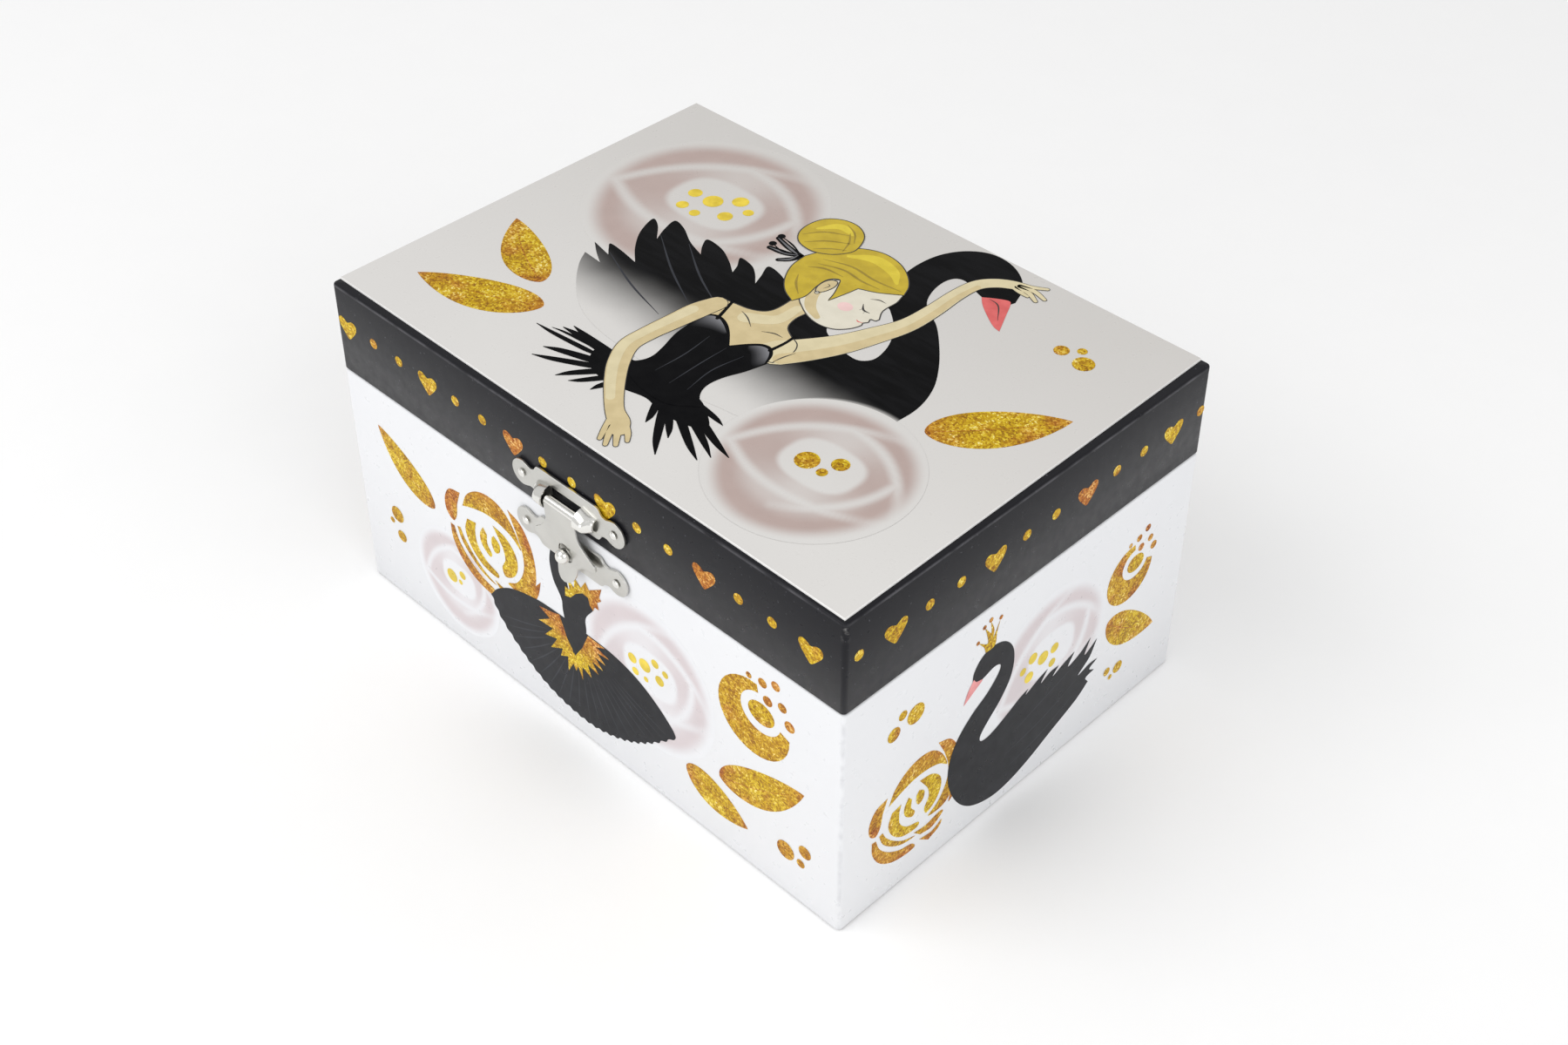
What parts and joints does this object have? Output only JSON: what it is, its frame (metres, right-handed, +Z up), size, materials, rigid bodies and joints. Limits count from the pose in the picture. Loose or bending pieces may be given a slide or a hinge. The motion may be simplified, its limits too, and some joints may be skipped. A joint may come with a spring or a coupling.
{
  "type": "musical jewellery box",
  "caption": "Paper-wrapped board jewellery box with a hinged lid, snap latch, mirror, compartments and a turning dancer on a wind-up musical movement.",
  "frame": {"origin": "middle of the flat underside", "axes": "+X along the length to the right, -Y the front with the latch, +Y the back with the hinge and key, +Z up"},
  "size_m": [0.153, 0.1276, 0.0845],
  "materials": {
    "board": "matt",
    "white_paper": "glossy",
    "black_paper": "glossy",
    "print_panel": "satin",
    "lining": "velvet",
    "cushion": "velvet",
    "mirror": "polished",
    "nickel": "polished",
    "zinc": "cast",
    "steel": "satin",
    "brass": "satin",
    "figure": "painted",
    "tulle": "net"
  },
  "bodies": {
    "base": {"base_bottom_board": "board", "base_front_board": "board", "base_back_board": "board", "base_left_board": "board", "base_right_board": "board", "base_wrap": "white_paper", "tray_shelf": "lining", "tray_partition": "lining", "tray_divider": "lining", "tray_floor_pad": "lining", "ring_cushion": "cushion", "latch_keeper": "nickel", "keeper_nail_left": "nickel", "keeper_nail_right": "nickel", "hinge_base_leaf": "nickel", "hinge_base_nail_1": "nickel", "hinge_base_nail_2": "nickel", "hinge_base_nail_3": "nickel", "comb": "steel", "comb_screw_left": "steel", "comb_screw_right": "steel", "movement_screw_left": "steel", "movement_screw_right": "steel", "spindle_bush": "brass", "movement_bedplate": "zinc", "governor_frame": "zinc"},
    "lid": {"lid_top_board": "board", "lid_front_board": "board", "lid_back_board": "board", "lid_left_board": "board", "lid_right_board": "board", "lid_wrap": "black_paper", "lid_print_panel": "print_panel", "lid_lining": "lining", "mirror": "mirror", "lid_stop_block": "lining", "latch_plate": "nickel", "latch_nail_left": "nickel", "latch_nail_right": "nickel", "hinge_lid_leaf": "nickel", "hinge_lid_nail_1": "nickel", "hinge_lid_nail_2": "nickel", "hinge_lid_nail_3": "nickel", "hinge_pin": "steel"},
    "hasp": {"latch_hasp": "nickel"},
    "winding": {"winding_key": "nickel", "winding_arbor": "steel"},
    "barrel": {"spring_barrel": "brass", "mainspring": "steel"},
    "cylinder": {"music_cylinder": "brass"},
    "wheel": {"governor_wheel": "brass"},
    "fly": {"governor_fly": "steel"},
    "stop_rod": {"stop_rod": "steel", "stop_rod_spring": "steel"},
    "spindle": {"dancer_spindle": "brass", "dancer_spring": "steel"},
    "dancer": {"dancer_body": "figure", "dancer_tutu": "tulle"}
  },
  "joints": [
    {"name": "lid_hinge", "type": "hinge", "parent": "base", "child": "lid", "pos_m": [0, 0.0562, 0.06105], "axis": [-1, 0, 0], "range_deg": [0, 100]},
    {"name": "hasp_swing", "type": "hinge", "parent": "lid", "child": "hasp", "pos_m": [0.0009, -0.0566, 0.067], "axis": [-1, 0, 0], "range_deg": [0, 120]},
    {"name": "key_turn", "type": "hinge", "parent": "base", "child": "winding", "pos_m": [0, 0.0545, 0.024], "axis": [0, 1, 0], "continuous": true},
    {"name": "barrel_turn", "type": "hinge", "parent": "base", "child": "barrel", "pos_m": [0, 0.0375, 0.024], "axis": [0, 1, 0], "continuous": true},
    {"name": "cylinder_turn", "type": "hinge", "parent": "base", "child": "cylinder", "pos_m": [0.0115, 0.0334, 0.024], "axis": [1, 0, 0], "continuous": true},
    {"name": "wheel_turn", "type": "hinge", "parent": "base", "child": "wheel", "pos_m": [0.0379, 0.0334, 0.0144], "axis": [1, 0, 0], "continuous": true},
    {"name": "fly_turn", "type": "hinge", "parent": "base", "child": "fly", "pos_m": [0.0379, 0.0279, 0.0144], "axis": [0, 0, 1], "continuous": true},
    {"name": "spindle_turn", "type": "hinge", "parent": "base", "child": "spindle", "pos_m": [0, 0.0245, 0.0396], "axis": [0, 0, 1], "continuous": true},
    {"name": "dancer_sway", "type": "hinge", "parent": "spindle", "child": "dancer", "pos_m": [0, 0.0245, 0.044], "axis": [1, 0, 0], "range_deg": [-12, 12], "stiffness_Nm_per_rad": 0.004},
    {"name": "stop_rod_rise", "type": "slide", "parent": "base", "child": "stop_rod", "axis": [0, 0, 1], "range_m": [0, 0.004], "deforming": ["stop_rod_spring"]}
  ],
  "couplings": [
    {"joint": "cylinder_turn", "follows": "barrel_turn", "ratio": -2.5},
    {"joint": "wheel_turn", "follows": "barrel_turn", "ratio": 7.5},
    {"joint": "fly_turn", "follows": "barrel_turn", "ratio": 75},
    {"joint": "spindle_turn", "follows": "barrel_turn", "ratio": -1},
    {"joint": "stop_rod_rise", "follows": "lid_hinge", "m_per_rad": 0.0022895}
  ]
}
